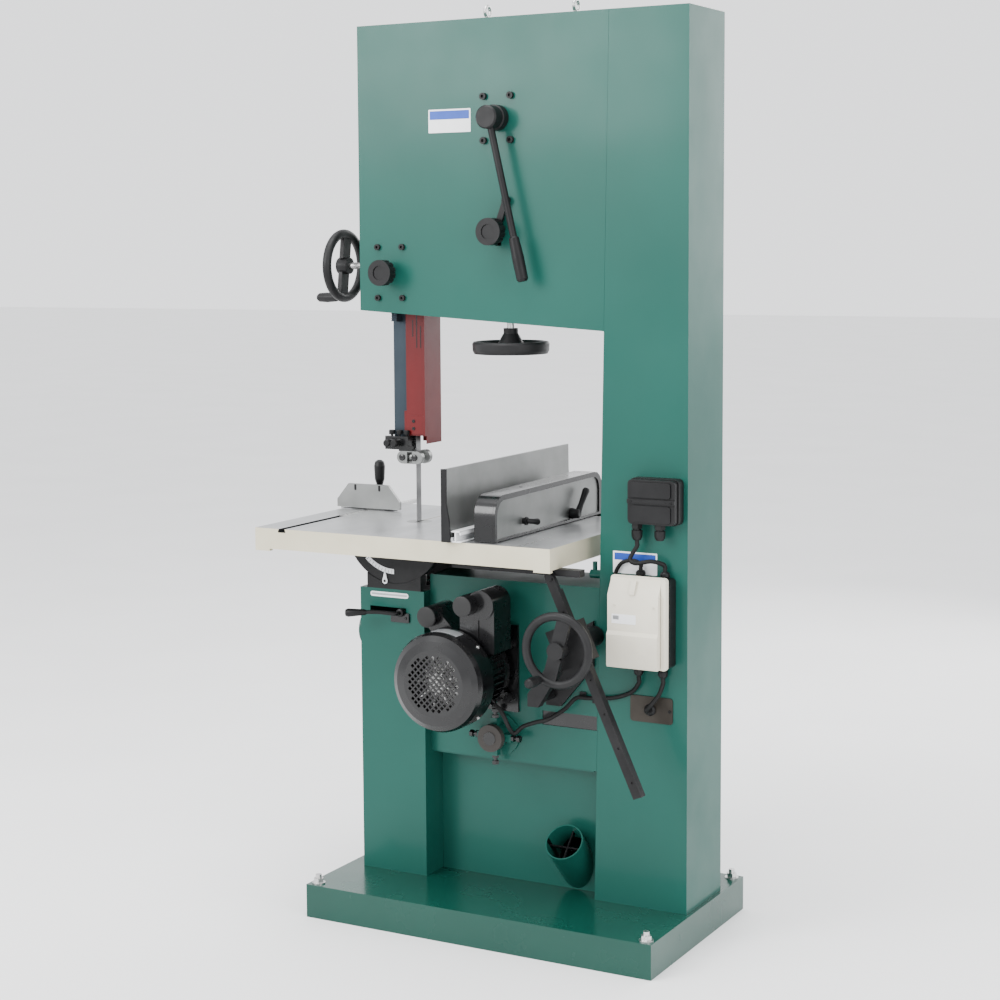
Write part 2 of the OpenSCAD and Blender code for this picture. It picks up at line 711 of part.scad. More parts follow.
module guide_lock_knob() {
    color(black) turned_y(364, lock_z) {
        translate([0, 0, 86]) fluted_knob(34, 30);
        translate([0, 0, rear_y + 1]) cylinder(h = 29, r = 15);
    }
    color(steel) bar_y(364, [-20, rear_y + 1], lock_z, 6);
}
// ---------------------------------------------------------------- table
module table() {
    z0 = table_z - skirt_h;
    zp = table_z - plate_t;
    color(cream) difference() {
        union() {
            block(tab_x, tab_y, [z0, table_z]);
            for (x = [tab_x[0], tab_x[1] - 46]) block([x, x + 46], [tab_y[1] - skirt_t, tab_y[1]],
                [z0 - 6, z0 + 1]);
            for (x = [tab_x[0], tab_x[1] - 46]) block([x, x + 46], [tab_y[0], tab_y[0] + skirt_t],
                [z0 - 6, z0 + 1]);
        }
        block([tab_x[0] + skirt_t, tab_x[1] - skirt_t], [tab_y[0] + skirt_t, tab_y[1] - skirt_t],
            [z0 - 1, zp]);
        block([slot_x - 9.5, slot_x + 9.5], [tab_y[0] - 1, tab_y[1] + 1], [table_z - 9.5, table_z + 1]);
        block([slot_x - 12, slot_x + 12], [tab_y[0] - 1, tab_y[1] + 1], [table_z - 9.5, table_z - 6.5]);
        bar_z(345, blade_y, [zp - 1, table_z + 1], insert_r + 0.3);
        block([blade_x - 1.3, blade_x + blade_t + 1.3], [tab_y[0] - 1, blade_y], [z0 - 1, table_z + 1]);
    }
    color(cream) {
        for (x = [[240, 250], [440, 450]]) block(x, [tab_y[0] + skirt_t - 1, tab_y[1] - skirt_t + 1],
            [zp - 20, zp + 1]);
        for (y = [[-215, -205], [150, 160]]) {
            block([tab_x[0] + skirt_t - 1, 330], y, [zp - 20, zp + 1]);
            block([360, tab_x[1] - skirt_t + 1], y, [zp - 20, zp + 1]);
        }
    }
    color(iron) {
        // tie bar that carries the rack's pivot lug
        block([60, 100], [178, 206], [955, zp + 1]);
        block([-263, 100], [178, 206], [955, z0]);
    }
}
module table_insert() {
    color(steel) difference() {
        bar_z(345, blade_y, [table_z - 5, table_z], insert_r);
        // slot relieved below on one side, for the tilted table
        slab_y([blade_y - 40, blade_y + 20]) polygon([[blade_x - 2, table_z + 1],
            [blade_x + blade_t + 2, table_z + 1], [blade_x + blade_t + 8, table_z - 6], [blade_x - 2,
                table_z - 6]]);
    }
}
module table_trunnions() {
    z1 = table_z - plate_t;
    color(iron) for (y = [trun_rear, trun_front]) difference() {
        bar_y(345, y, table_z, trun_r);
        block([0, 700], [y[0] - 1, y[1] + 1], [z1, 1300]);
        bar_y(345, [y[0] - 1, y[1] + 1], table_z, 62);
        for (x = [[239, 251], [439, 451]]) block(x, [y[0] - 1, y[1] + 1], [z1 - 21, 1300]);
    }
}
module fence_rail() {
    color(black) difference() {
        block([-200, 640], [tab_y[0] - 45, tab_y[0] - 5], [962, 1012]);
        block([-201, 641], [tab_y[0] - 41, tab_y[0] - 9], [966, 1008]);
    }
    color(black) for (x = [-120, 120, 500]) bar_y(x, [tab_y[0] - 5, tab_y[0]], 1000, 12);
}
// ---------------------------------------------------------------- fence
module fence() {
    z = table_z + 1;
    color(steel) {
        block([83, 97], [-450, 263], [z, table_z + fence_h]);
        block([66, 83], [-450, 263], [z, z + 6]);
        block([66, 83], [-450, 263], [z + 30, z + 36]);
        block([66, 70], [-450, 263], [z + 5, z + 31]);
    }
    color(black) difference() {
        slab_y([-450, 225]) polygon([[-36, z], [24, z], [24, z + 122], [-36, z + 122]]);
        block([-40, -30], [-420, 205], [z + 8, z + 110]);
        block([-37, 25], [-451, -419], [z + 60, z + 123]);
        block([-10, 25], [-380, 200], [z - 1, z + 80]);
    }
    color(black) {
        for (y = [-250, 60]) bar_x([20, 68], y, z + 18, 6);
        bar_x([-44, -29.5], 62, z + 37, 8);
        block([-36, 24], [tab_y[0] - 95, tab_y[0] - 47], [960, z + 1]);
        block([-20, 10], [tab_y[0] - 48, tab_y[0] - 20], [1014, z + 1]);
    }
}
module fence_lever() {
    z = table_z + 24;
    color(black) {
        bar_x([-58, -31], -215, z, 14);
        bar_x([-68, -58], -215, z, 11);
        translate([-60, -215, z]) rotate([25, 0, 0]) block([-6, 6], [-9, 9], [8, 72]);
    }
}
// ---------------------------------------------------------------- mitre gauge
module miter_bar() {
    color(steel) difference() {
        block([slot_x - 9.2, slot_x + 9.2], [miter_y - 250, miter_y + 160], [table_z - 9.2, table_z - 0.3]);
        bar_z(slot_x, miter_y, [1000, 1040], 5.05);
    }
}
module miter_head() {
    z = table_z + 0.6;
    color(steel) translate([slot_x, miter_y, 0]) {
        slab_y([14, 24]) polygon([[-104, z + 4], [104, z + 4], [104, z + 26], [66, z + 72], [-66,
            z + 72], [-104, z + 26]]);
    }
    color(black) translate([slot_x, miter_y, 0]) difference() {
        union() {
            bar_z(0, 0, [z, z + 14], 62);
            block([-60, 60], [0, 14.5], [z, z + 40]);
            bar_z(0, -40, [z + 13, z + 34], 16);
        }
        block([-120, 120], [24, 90], [1000, 1200]);
    }
    color(steel) bar_z(slot_x, miter_y, [table_z - 9, z + 1], 5);
}
module miter_handle() {
    z = table_z + 35.2;
    color(black) translate([slot_x, miter_y - 40, z]) rotate_extrude() polygon([[0, 0], [12, 0], [11, 8],
        [9, 30], [14, 46], [16, 84], [13, 96], [6, 101], [0, 102]]);
}
// ---------------------------------------------------------------- table tilt
module table_lock_lever() {
    z = 801;
    color(black) {
        bar_y(320, [ped_rear + 0.5, ped_rear + 34], z, 9);
        translate([320, ped_rear + 27, z]) rotate([0, 3, 0]) rotate([0, 0, 17]) bar_x([0, 92], 0, 0, 6);
        translate([320, ped_rear + 27, z]) rotate([0, 3, 0]) rotate([0, 0, 17]) bar_x([84, 140], 0, 0, 11);
    }
    color(steel) bar_y(320, [40, ped_rear + 0.5], z, 7);
}
module tilt_bracket() {
    color(black) {
        slab_y([rear_y, rear_y + 10]) polygon([[-232, 700], [-140, 590], [-98, 590], [-98, 640],
            [-196, 800], [-232, 820]]);
        difference() {
            bar_y(tilt_x, [rear_y + 4, 176], tilt_z, 26);
            bar_y(tilt_x, [120, 180], tilt_z, 12.06);
        }
        slab_y([150, 176]) polygon([[tilt_x + 14, tilt_z - 30], [-130, 608], [-100, 608], [-100, 640],
            [tilt_x + 28, tilt_z + 6], [tilt_x + 20, tilt_z]]);
        bar_y(-114, [rear_y + 4, 176], 622, 14);
    }
}
module on_rack() {
    translate([tilt_x, 0, tilt_z]) rotate([0, rack_lean, 0]) children();
}
module tilt_housing() {
    // cheeks behind and before the rack bar, joined along one edge
    color(black) {
        difference() {
            on_rack() block([-44, 34], [178, 190], [-52, 52]);
            bar_y(tilt_x, [170, 200], tilt_z, 7.06);
        }
        difference() {
            on_rack() block([-44, 34], [224, 236], [-52, 52]);
            bar_y(tilt_x, [220, 240], tilt_z, 7.06);
        }
        on_rack() block([-52, -41], [178, 236], [-52, 52]);
        on_rack() block([22, 34], [189, 225], [-52, -34]);
        on_rack() block([22, 34], [189, 225], [34, 52]);
        difference() {
            bar_y(tilt_x, [130, 178.5], tilt_z, 12);
            bar_y(tilt_x, [120, 180], tilt_z, 7.06);
        }
    }
}
module tilt_rack() {
    // bar beside the pinion shaft, toothed strip behind it
    r = tilt_teeth * gear_mod / 2;
    color(iron) on_rack() difference() {
        union() {
            block([-38, -8.5], [208, 211], [rack_down, rack_up - 10]);
            block([-38, -35], [208, 222], [rack_down, rack_up - 10]);
            bar_y(-23, [208, 211], rack_up - 10, 14.5);
        }
        bar_y(-23, [200, 230], rack_up - 10, 5);
        for (t = [rack_down + 40:90:rack_up - 60]) bar_y(-23, [207, 212], t, 3);
    }
    color(iron) on_rack() translate([-r, 208.5, 0]) rotate([90, 0, 0]) linear_extrude(height = 14)
        rack2d(bar_teeth[0], bar_teeth[1], gear_mod, 20);
    color(steel) on_rack() {
        bar_y(-23, [207, 215], rack_up - 10, 5);
        translate([-23, 211, rack_up - 10]) rotate([-90, 0, 0]) hex_bolt(18, 7);
    }
}
module tilt_handwheel() {
    color(black) translate([tilt_x, 275, tilt_z]) rotate([-90, 0, 0]) {
        rotate([0, 0, 75]) handwheel(96, 11);
        rotate([0, 0, 60]) crank(85, 64);
    }
    color(steel) {
        bar_y(tilt_x, [140, 258], tilt_z, 7);
        translate([tilt_x, 193, tilt_z]) rotate([-90, 0, 0]) rotate(rack_lean)
            linear_extrude(height = 14) difference() {
                gear2d(tilt_teeth, gear_mod);
                circle(r = 6);
            }
    }
}
// ---------------------------------------------------------------- electrics
module junction_box() {
    color(black) {
        difference() {
            block([-486, -346], [rear_y, 110], [1080, 1194]);
            block([-480, -352], [rear_y + 3, 107], [1086, 1188]);
        }
        for (x = [-362, -424]) difference() {
            bar_z(x, 84, [1040, 1080.5], 13);
            bar_z(x, 84, [1030, 1087], 6.5);
        }
    }
}
module starter_box() {
    color(cream) slab_y([78, 130]) polygon([[-462, 722], [-302, 722], [-302, 905], [-322, 938], [-462,
        938]]);
    color(black) {
        block([-458, -306], [rear_y, 78], [722, 934]);
        for (x = [-366, -432]) bar_z(x, 70, [933, 962], 12);
        for (x = [-361, -427]) bar_z(x, 70, [694, 722.5], 12);
    }
}
module cord_fixings() {
    color(black) {
        block([-449, -333], [rear_y, rear_y + 3], [573, 640]);
        bar_y(-388, [rear_y + 2, rear_y + 12], 606, 15);
        for (p = [[-200, 627], [-236, 612]]) block([p[0] - 9, p[0] + 9], [rear_y, rear_y + 4],
            [p[1] - 6, p[1] + 6]);
    }
}
// Round tube swept along points, capped at both ends
cord_sides = 10;
function unit(v) = v / norm(v);
function heading(p, i) = unit(p[min(i + 1, len(p) - 1)] - p[max(i - 1, 0)]);
function ring(p, i, r) = let (t = heading(p, i),
    a = unit(cross(t, abs(t[2]) < 0.9 ? [0, 0, 1] : [0, 1, 0])),
    b = cross(t, a)) [for (k = [0:cord_sides - 1]) let (w = 360 * k / cord_sides)
        p[i] + r * (cos(w) * a + sin(w) * b)];
// Catmull-Rom curve through the route's points
function curve(q, n) = concat([for (i = [0:len(q) - 2], k = [0:n - 1]) let (t = k / n,
    a = q[max(i - 1, 0)], b = q[i], c = q[i + 1], d = q[min(i + 2, len(q) - 1)])
        0.5 * (2 * b + (c - a) * t + (2 * a - 5 * b + 4 * c - d) * t * t
            + (3 * b - a - 3 * c + d) * t * t * t)],
    [q[len(q) - 1]]);
module cord(route, r, n) {
    p = curve(route, n);
    s = cord_sides;
    m = len(p);
    polyhedron(points = [for (i = [0:m - 1]) each ring(p, i, r)],
        faces = concat([[for (k = [0:s - 1]) s - 1 - k]],
            [for (i = [0:m - 2], k = [0:s - 1]) [i * s + k, i * s + (k + 1) % s,
                (i + 1) * s + (k + 1) % s, (i + 1) * s + k]],
            [[for (k = [0:s - 1]) (m - 1) * s + k]]));
}
// each end runs straight out of its gland, so that the cord's end lies flat on it
supply_route = [[-362, 84, 1040], [-362, 84, 1032], [-362, 84, 1024], [-350, 86, 1004], [-346, 90, 990],
    [-362, 92, 982], [-400, 84, 988], [-426, 74, 982], [-432, 70, 974], [-432, 70, 968], [-432, 70, 962]];
switch_route = [[-366, 70, 962], [-366, 70, 969], [-366, 70, 976], [-346, 67, 984], [-312, 65, 976],
    [-292, 64, 944], [-288, 64, 906], [-288, 64, 880]];
motor_route = [[-361, 70, 694], [-361, 70, 684], [-361, 70, 674], [-340, 68, 648], [-298, 66, 630],
    [-250, 68, 622], [-215, 68, 620], [-186, 72, 617], [-162, 92, 589], [-130, 122, 566], [-96, 124, 555],
    [-60, 124, 540], [-36, 126, 520], [-28, 140, 536], [-20, 148, 562], [-7, 150, 584], [1, 150, 590],
    [9, 150, 596]];
plate_route = [[-427, 70, 694], [-427, 70, 686], [-427, 70, 678], [-420, 78, 652], [-404, 86, 628],
    [-390, 88, 612], [-388, 82, 606], [-388, 75, 606], [-388, 69, 606]];
module cords() {
    color(black) {
        cord(supply_route, 5.5, 2);
        cord(switch_route, 5, 2);
        cord(motor_route, 5.5, 2);
        cord(plate_route, 5.5, 2);
    }
}
// ---------------------------------------------------------------- doors and front controls
module door_pan(outline_low_col, outline_low_free, z1, x1) {
    x0 = channel_x + 2;
    outline = [[x0, outline_low_col], [x1, outline_low_free], [x1, z1], [x0, z1]];
    inside = [[x0 + 3, outline_low_col + 3], [x1 - 3, outline_low_free + 3], [x1 - 3, z1 - 3],
        [x0 + 3, z1 - 3]];
    difference() {
        slab_y([front_y - 3, door_seat_y - 0.5]) polygon(outline);
        slab_y([front_y, door_seat_y + 1]) polygon(inside);
    }
}
hinge_x = channel_x - 6;
hinge_y = front_y - 9;
module hinge_knuckles(z) {
    for (h = z) difference() {
        union() {
            bar_z(hinge_x, hinge_y, [h - 30, h + 30], 6);
            block([hinge_x, channel_x + 40], [hinge_y - 1, front_y - 2.5], [h - 30, h + 30]);
        }
        bar_z(hinge_x, hinge_y, [h - 31, h + 31], 3.05);
        block([hinge_x - 20, channel_x + 1.9], [hinge_y + 6.1, 0], [h - 31, h + 31]);
    }
}
module hinge_leaves(z) {
    for (h = z) {
        bar_z(hinge_x, hinge_y, [h - 50, h + 50], 3);
        for (s = [[h - 50, h - 30.5], [h + 30.5, h + 50]]) {
            bar_z(hinge_x, hinge_y, s, 6);
            block([hinge_x - 34, hinge_x], [hinge_y + 1, front_y], s);
        }
    }
}
upper_hinges = [1660, 2260];
lower_hinges = [200, 780];
module upper_door() {
    color(green) {
        door_pan(up_low(channel_x) + 1, up_low(up_free) + 1, top_z - 1, up_free - 1);
        hinge_knuckles(upper_hinges);
    }
}
module lower_door() {
    color(green) {
        door_pan(base_h + 12, base_h + 12, low_top - 48, ped_out - 1);
        hinge_knuckles(lower_hinges);
    }
}
module latch(x, z) {
    color(black) translate([x, front_y - 3, z]) rotate([90, 0, 0]) {
        translate([0, 0, 0.4]) cylinder(h = 14, r = 16);
        translate([-7, -26, 14.4]) cube([14, 52, 14]);
    }
}
module upper_latch() { latch(425, 1960); }
module lower_latch() { latch(416, 480); }
module switch_panel() {
    color(black) difference() {
        block([-450, -350], [front_y - 34, front_y], [1300, 1470]);
        for (z = [1345, 1425]) bar_y(-400, [front_y - 40, front_y - 20], z, 18.3);
    }
    color(black) {
        for (z = upper_hinges) hinge_leaves([z]);
        for (z = lower_hinges) hinge_leaves([z]);
    }
}
module start_button() { color(green) bar_y(-400, [front_y - 41, front_y - 26], 1425, 18); }
module stop_button() { color(red) bar_y(-400, [front_y - 44, front_y - 27], 1345, 18); }

base_tray();
fasteners();
column();
channel_cover();
upper_housing();
lower_housing();
pedestal();
lower_trunnion();
lower_shaft();
hub_adjuster();
lower_guide();
motor_mount();
motor_body();
fan_shroud();
junction_box();
starter_box();
cord_fixings();
cords();
tilt_bracket();
switch_panel();
blade();
drive_belt();
upper_door();
lower_door();
upper_latch();
lower_latch();
tension_carriage();
tension_spring();
tension_handwheel();
wheel_bracket();
tracking_knob();
tracking_lever();
tracking_block();
upper_wheel();
upper_tyre();
lower_wheel();
lower_tyre();
wheel_pulley();
release_lever();
guide_post();
blade_guard();
upper_guide();
guide_handwheel();
guide_lock_knob();
table();
table_insert();
table_trunnions();
fence_rail();
fence();
fence_lever();
miter_bar();
miter_head();
miter_handle();
table_lock_lever();
tilt_housing();
tilt_rack();
tilt_handwheel();
motor_rotor();
start_button();
stop_button();
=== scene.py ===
import json
import math
import bmesh
import bpy
from mathutils import Matrix, Vector


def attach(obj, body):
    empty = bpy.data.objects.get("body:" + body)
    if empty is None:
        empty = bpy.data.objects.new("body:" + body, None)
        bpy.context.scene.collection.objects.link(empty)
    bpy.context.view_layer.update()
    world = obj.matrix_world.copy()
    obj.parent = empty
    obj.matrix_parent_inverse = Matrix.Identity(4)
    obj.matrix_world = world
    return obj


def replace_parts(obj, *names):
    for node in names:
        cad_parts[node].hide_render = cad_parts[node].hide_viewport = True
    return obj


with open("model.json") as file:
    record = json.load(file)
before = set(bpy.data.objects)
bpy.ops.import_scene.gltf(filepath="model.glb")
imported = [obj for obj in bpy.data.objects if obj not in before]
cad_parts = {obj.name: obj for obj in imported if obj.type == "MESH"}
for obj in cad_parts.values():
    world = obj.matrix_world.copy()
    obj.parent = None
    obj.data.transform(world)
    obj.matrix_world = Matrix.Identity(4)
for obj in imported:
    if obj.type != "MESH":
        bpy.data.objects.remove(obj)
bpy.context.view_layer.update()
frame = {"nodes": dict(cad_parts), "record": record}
NODES = frame["nodes"]

MM = 0.001
# Places on the CAD parts, in millimetres
REAR = 57                 # rear face of the column and housings
PEDESTAL_REAR = 90        # rear face of the pedestal and trunnion
HUB_X, HUB_Z = 40, 496    # lower wheel's axis
MOTOR_X, MOTOR_Z = 105, 668
SHROUD_R = 129
TILT_X, TILT_Z = 345, 1027    # axis that the table tilts about
GUARD_FACE = -21.9        # rear face of the blade guard
MITRE_FACE = -191.2       # rear face of the mitre gauge's plate
STARTER_FRONT = 131       # face of the starter box's cover that carries its label
JUNCTION_FRONT = 106
LABEL_EDGE = 0.0001       # bevel of a label, in metres


# ------------------------------------------------------------------ materials
def link(tree, a, out, b, inp):
    tree.links.new(a.outputs[out], b.inputs[inp])


def noise(tree, coord, scale, detail=3.0, stretch=(1, 1, 1)):
    """A noise texture on object coordinates, drawn out along an axis where stretch is uneven."""
    mapping = tree.nodes.new("ShaderNodeMapping")
    mapping.inputs["Scale"].default_value = stretch
    link(tree, coord, "Object", mapping, "Vector")
    n = tree.nodes.new("ShaderNodeTexNoise")
    n.inputs["Scale"].default_value = scale
    n.inputs["Detail"].default_value = detail
    link(tree, mapping, "Vector", n, "Vector")
    return n


def material(name, low, high, rough, metal=0.0, tone=6, grain=400, depth=0.0001, stretch=(1, 1, 1),
             coat=0.0, strength=0.5, sheen=0.2):
    """Paint, metal or plastic: two close tones, uneven gloss and a fine surface grain."""
    m = bpy.data.materials.new(name)
    m.use_nodes = True
    t = m.node_tree
    bsdf = t.nodes["Principled BSDF"]
    coord = t.nodes.new("ShaderNodeTexCoord")
    broad = noise(t, coord, tone, 5.0)
    ramp = t.nodes.new("ShaderNodeValToRGB")
    ramp.color_ramp.elements[0].position = 0.3
    ramp.color_ramp.elements[1].position = 0.7
    ramp.color_ramp.elements[0].color = (*low, 1)
    ramp.color_ramp.elements[1].color = (*high, 1)
    link(t, broad, "Fac", ramp, "Fac")
    link(t, ramp, "Color", bsdf, "Base Color")
    patch = noise(t, coord, tone * 3.3, 4.0, stretch)
    gloss = t.nodes.new("ShaderNodeMapRange")
    gloss.inputs["From Min"].default_value = 0.3
    gloss.inputs["From Max"].default_value = 0.7
    gloss.inputs["To Min"].default_value = rough[0]
    gloss.inputs["To Max"].default_value = rough[1]
    link(t, patch, "Fac", gloss, "Value")
    link(t, gloss, "Result", bsdf, "Roughness")
    fine = noise(t, coord, grain, 2.0, stretch)
    bump = t.nodes.new("ShaderNodeBump")
    bump.inputs["Distance"].default_value = depth
    bump.inputs["Strength"].default_value = strength
    link(t, fine, "Fac", bump, "Height")
    link(t, bump, "Normal", bsdf, "Normal")
    bsdf.inputs["Metallic"].default_value = metal
    bsdf.inputs["Specular IOR Level"].default_value = sheen
    if coat:
        bsdf.inputs["Coat Weight"].default_value = coat
        bsdf.inputs["Coat Roughness"].default_value = 0.12
    return m


MATS = {
    "green_paint": material("green_paint", (0.004, 0.062, 0.047), (0.006, 0.074, 0.057), (0.32, 0.42),
                            tone=2.2, grain=420, depth=0.00002, coat=0.1),
    "base_paint": material("base_paint", (0.002, 0.042, 0.030), (0.004, 0.052, 0.037), (0.2, 0.3),
                           tone=3, grain=300, depth=0.00002, coat=0.3),
    "black_paint": material("black_paint", (0.002, 0.002, 0.0024), (0.004, 0.004, 0.0045), (0.24, 0.34),
                            tone=9, grain=520, depth=0.00003, coat=0.5),
    "black_plastic": material("black_plastic", (0.005, 0.005, 0.0055), (0.009, 0.009, 0.0095), (0.36, 0.48),
                              tone=14, grain=1500, depth=0.0001),
    "cast_iron": material("cast_iron", (0.006, 0.006, 0.0065), (0.013, 0.013, 0.0135), (0.38, 0.55),
                          tone=16, grain=420, depth=0.0003),
    "ground_iron": material("ground_iron", (0.27, 0.275, 0.28), (0.36, 0.365, 0.37), (0.26, 0.38),
                            metal=0.75, tone=7, grain=420, depth=0.00003, stretch=(1, 0.02, 1)),
    "steel": material("steel", (0.46, 0.46, 0.455), (0.60, 0.60, 0.59), (0.22, 0.36), metal=1.0,
                      tone=18, grain=700, depth=0.00004),
    "aluminium": material("aluminium", (0.17, 0.175, 0.17), (0.24, 0.245, 0.24), (0.32, 0.44), metal=0.8,
                          tone=8, grain=600, depth=0.00003, stretch=(1, 0.03, 1)),
    "blade_steel": material("blade_steel", (0.16, 0.16, 0.165), (0.27, 0.27, 0.27), (0.3, 0.42), metal=0.9,
                            tone=24, grain=900, depth=0.00003, stretch=(1, 1, 0.05)),
    "rubber": material("rubber", (0.005, 0.005, 0.005), (0.009, 0.009, 0.009), (0.5, 0.66),
                       tone=20, grain=900, depth=0.0001),
    "red_paint": material("red_paint", (0.078, 0.003, 0.004), (0.105, 0.005, 0.006), (0.34, 0.44),
                          tone=8, grain=500, depth=0.00008, coat=0.2),
    "cream_plastic": material("cream_plastic", (0.60, 0.565, 0.47), (0.68, 0.645, 0.54), (0.38, 0.5),
                              tone=10, grain=1300, depth=0.00008),
    "cream_paint": material("cream_paint", (0.50, 0.46, 0.34), (0.57, 0.53, 0.40), (0.3, 0.42),
                            tone=8, grain=380, depth=0.00012, coat=0.15),
    "green_plastic": material("green_plastic", (0.02, 0.22, 0.05), (0.03, 0.28, 0.07), (0.3, 0.4),
                              tone=30, grain=1200, depth=0.00005),
    "red_plastic": material("red_plastic", (0.42, 0.02, 0.015), (0.52, 0.03, 0.02), (0.3, 0.4),
                            tone=30, grain=1200, depth=0.00005),
    "post_steel": material("post_steel", (0.024, 0.034, 0.044), (0.034, 0.046, 0.058), (0.34, 0.46),
                           metal=0.55, tone=9, grain=500, depth=0.00005, stretch=(1, 1, 0.05)),
    "label_white": material("label_white", (0.74, 0.75, 0.76), (0.80, 0.81, 0.82), (0.32, 0.4),
                            tone=20, grain=900, depth=0.00003),
    "label_blue": material("label_blue", (0.02, 0.06, 0.32), (0.025, 0.075, 0.37), (0.32, 0.4),
                           tone=20, grain=900, depth=0.00003),
    "label_grey": material("label_grey", (0.30, 0.31, 0.32), (0.38, 0.39, 0.40), (0.3, 0.4), metal=0.6,
                           tone=20, grain=900, depth=0.00003),
    "soft_black": material("soft_black", (0.014, 0.014, 0.014), (0.022, 0.022, 0.022), (0.4, 0.52)),
    "brown_grey": material("brown_grey", (0.035, 0.031, 0.028), (0.05, 0.045, 0.041), (0.4, 0.5)),
    "bronze_plate": material("bronze_plate", (0.03, 0.026, 0.022), (0.045, 0.04, 0.034), (0.28, 0.4),
                             metal=0.6, tone=14, grain=700, depth=0.00005),
    "floor": material("floor", (0.83, 0.83, 0.83), (0.86, 0.86, 0.86), (0.6, 0.7),
                      tone=1.5, grain=200, depth=0.00005),
}


def bevel(o, width, angle=32, segments=2):
    """Rounds the sharp edges and keeps the flats flat."""
    b = o.modifiers.new("edges", "BEVEL")
    b.width = width
    b.segments = segments
    b.limit_method = "ANGLE"
    b.angle_limit = math.radians(angle)
    b.use_clamp_overlap = True
    b.harden_normals = True


def dress_cad():
    """Every CAD node gets its slot's material."""
    for part in frame["record"]["subparts"]:
        o = NODES[part["node"]]
        o.data.materials.clear()
        o.data.materials.append(MATS[part["material_slot"]])


dress_cad()


# ------------------------------------------------------------------ floor, light and camera
def stage_floor():
    bm = bmesh.new()
    bmesh.ops.create_grid(bm, x_segments=1, y_segments=1, size=40)
    me = bpy.data.meshes.new("floor")
    bm.to_mesh(me)
    bm.free()
    o = bpy.data.objects.new("floor", me)
    bpy.context.scene.collection.objects.link(o)
    o.data.materials.append(MATS["floor"])


def softbox(name, place, target, size, power):
    lamp = bpy.data.lights.new(name, "AREA")
    lamp.shape = "RECTANGLE"
    lamp.size, lamp.size_y = size
    lamp.energy = power
    o = bpy.data.objects.new(name, lamp)
    bpy.context.scene.collection.objects.link(o)
    o.location = place
    o.rotation_mode = "QUATERNION"
    o.rotation_quaternion = (Vector(target) - Vector(place)).to_track_quat("-Z", "Y")


def studio():
    world = bpy.data.worlds.new("studio")
    bpy.context.scene.world = world
    world.use_nodes = True
    sky = world.node_tree.nodes["Background"]
    sky.inputs["Color"].default_value = (0.97, 0.98, 1, 1)
    sky.inputs["Strength"].default_value = 1.9
    softbox("key", (2.6, 4.4, 3.4), (0, 0, 1.2), (2.4, 2.4), 260)
    softbox("fill", (-4.2, 2.4, 2.4), (0, 0, 1.1), (2.6, 3.0), 90)
    softbox("top", (0.2, 0.8, 5.0), (0, 0, 1.2), (3.0, 3.0), 210)
    softbox("front", (-0.6, -4.4, 2.6), (0, 0, 1.1), (3.0, 2.6), 120)


def camera():
    yaw, pitch, roll = 0.51726, 0.10287, -0.00879
    cam = bpy.data.cameras.new("camera")
    cam.sensor_width = 36
    cam.lens = 2.02578 * cam.sensor_width
    cam.shift_x, cam.shift_y = 0.05, -0.05
    cam.clip_end = 60
    o = bpy.data.objects.new("camera", cam)
    bpy.context.scene.collection.objects.link(o)
    ahead = Vector((math.sin(yaw) * math.cos(pitch), -math.cos(yaw) * math.cos(pitch), -math.sin(pitch)))
    right = ahead.cross(Vector((0, 0, 1))).normalized()
    up = right.cross(ahead)
    side = right * math.cos(roll) + up * math.sin(roll)
    top = up * math.cos(roll) - right * math.sin(roll)
    m = Matrix((side, top, -ahead)).transposed().to_4x4()
    m.translation = (-2.43113, 4.65946, 1.78549)
    o.matrix_world = m
    bpy.context.scene.camera = o


stage_floor()
studio()
camera()


# ------------------------------------------------------------------ building pieces
def new_piece(name, bm, slot, body="frame", width=0.0006, finish=None, smooth=True):
    """Turns a mesh into a piece that rides on a body, with its edges rounded."""
    bmesh.ops.recalc_face_normals(bm, faces=bm.faces)
    me = bpy.data.meshes.new(name)
    bm.to_mesh(me)
    bm.free()
    for p in me.polygons:
        p.use_smooth = smooth
    o = bpy.data.objects.new(name, me)
    bpy.context.scene.collection.objects.link(o)
    me.materials.append(MATS[finish or slot])
    if width:
        bevel(o, width)
    else:
        split = o.modifiers.new("flats", "EDGE_SPLIT")
        split.split_angle = math.radians(35)
    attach(o, body)
    return o


def add_box(bm, x, y, z, turn=None):
    """A block between two values on each axis, in millimetres."""
    made = bmesh.ops.create_cube(bm, size=1)["verts"]
    size = Vector(((x[1] - x[0]) * MM, (y[1] - y[0]) * MM, (z[1] - z[0]) * MM))
    mid = Vector(((x[0] + x[1]) / 2 * MM, (y[0] + y[1]) / 2 * MM, (z[0] + z[1]) / 2 * MM))
    for v in made:
        v.co = Vector(v.co[i] * size[i] for i in range(3)) + mid
    if turn:
        bmesh.ops.transform(bm, matrix=turn, verts=made)


def add_prism(bm, outline, lo, hi, place):
    """An outline of (a, b) in millimetres, given depth from lo to hi; place maps them to a point."""
    near = [bm.verts.new(Vector(place(a, b, lo)) * MM) for a, b in outline]
    far = [bm.verts.new(Vector(place(a, b, hi)) * MM) for a, b in outline]
    bm.faces.new(near)
    bm.faces.new(far)
    n = len(outline)
    for i in range(n):
        bm.faces.new((near[i], near[(i + 1) % n], far[(i + 1) % n], far[i]))


def on_rear(a, b, d):
    return (a, d, b)


def on_side(a, b, d):
    return (d, a, b)


def flat_on(a, b, d):
    return (a, b, d)


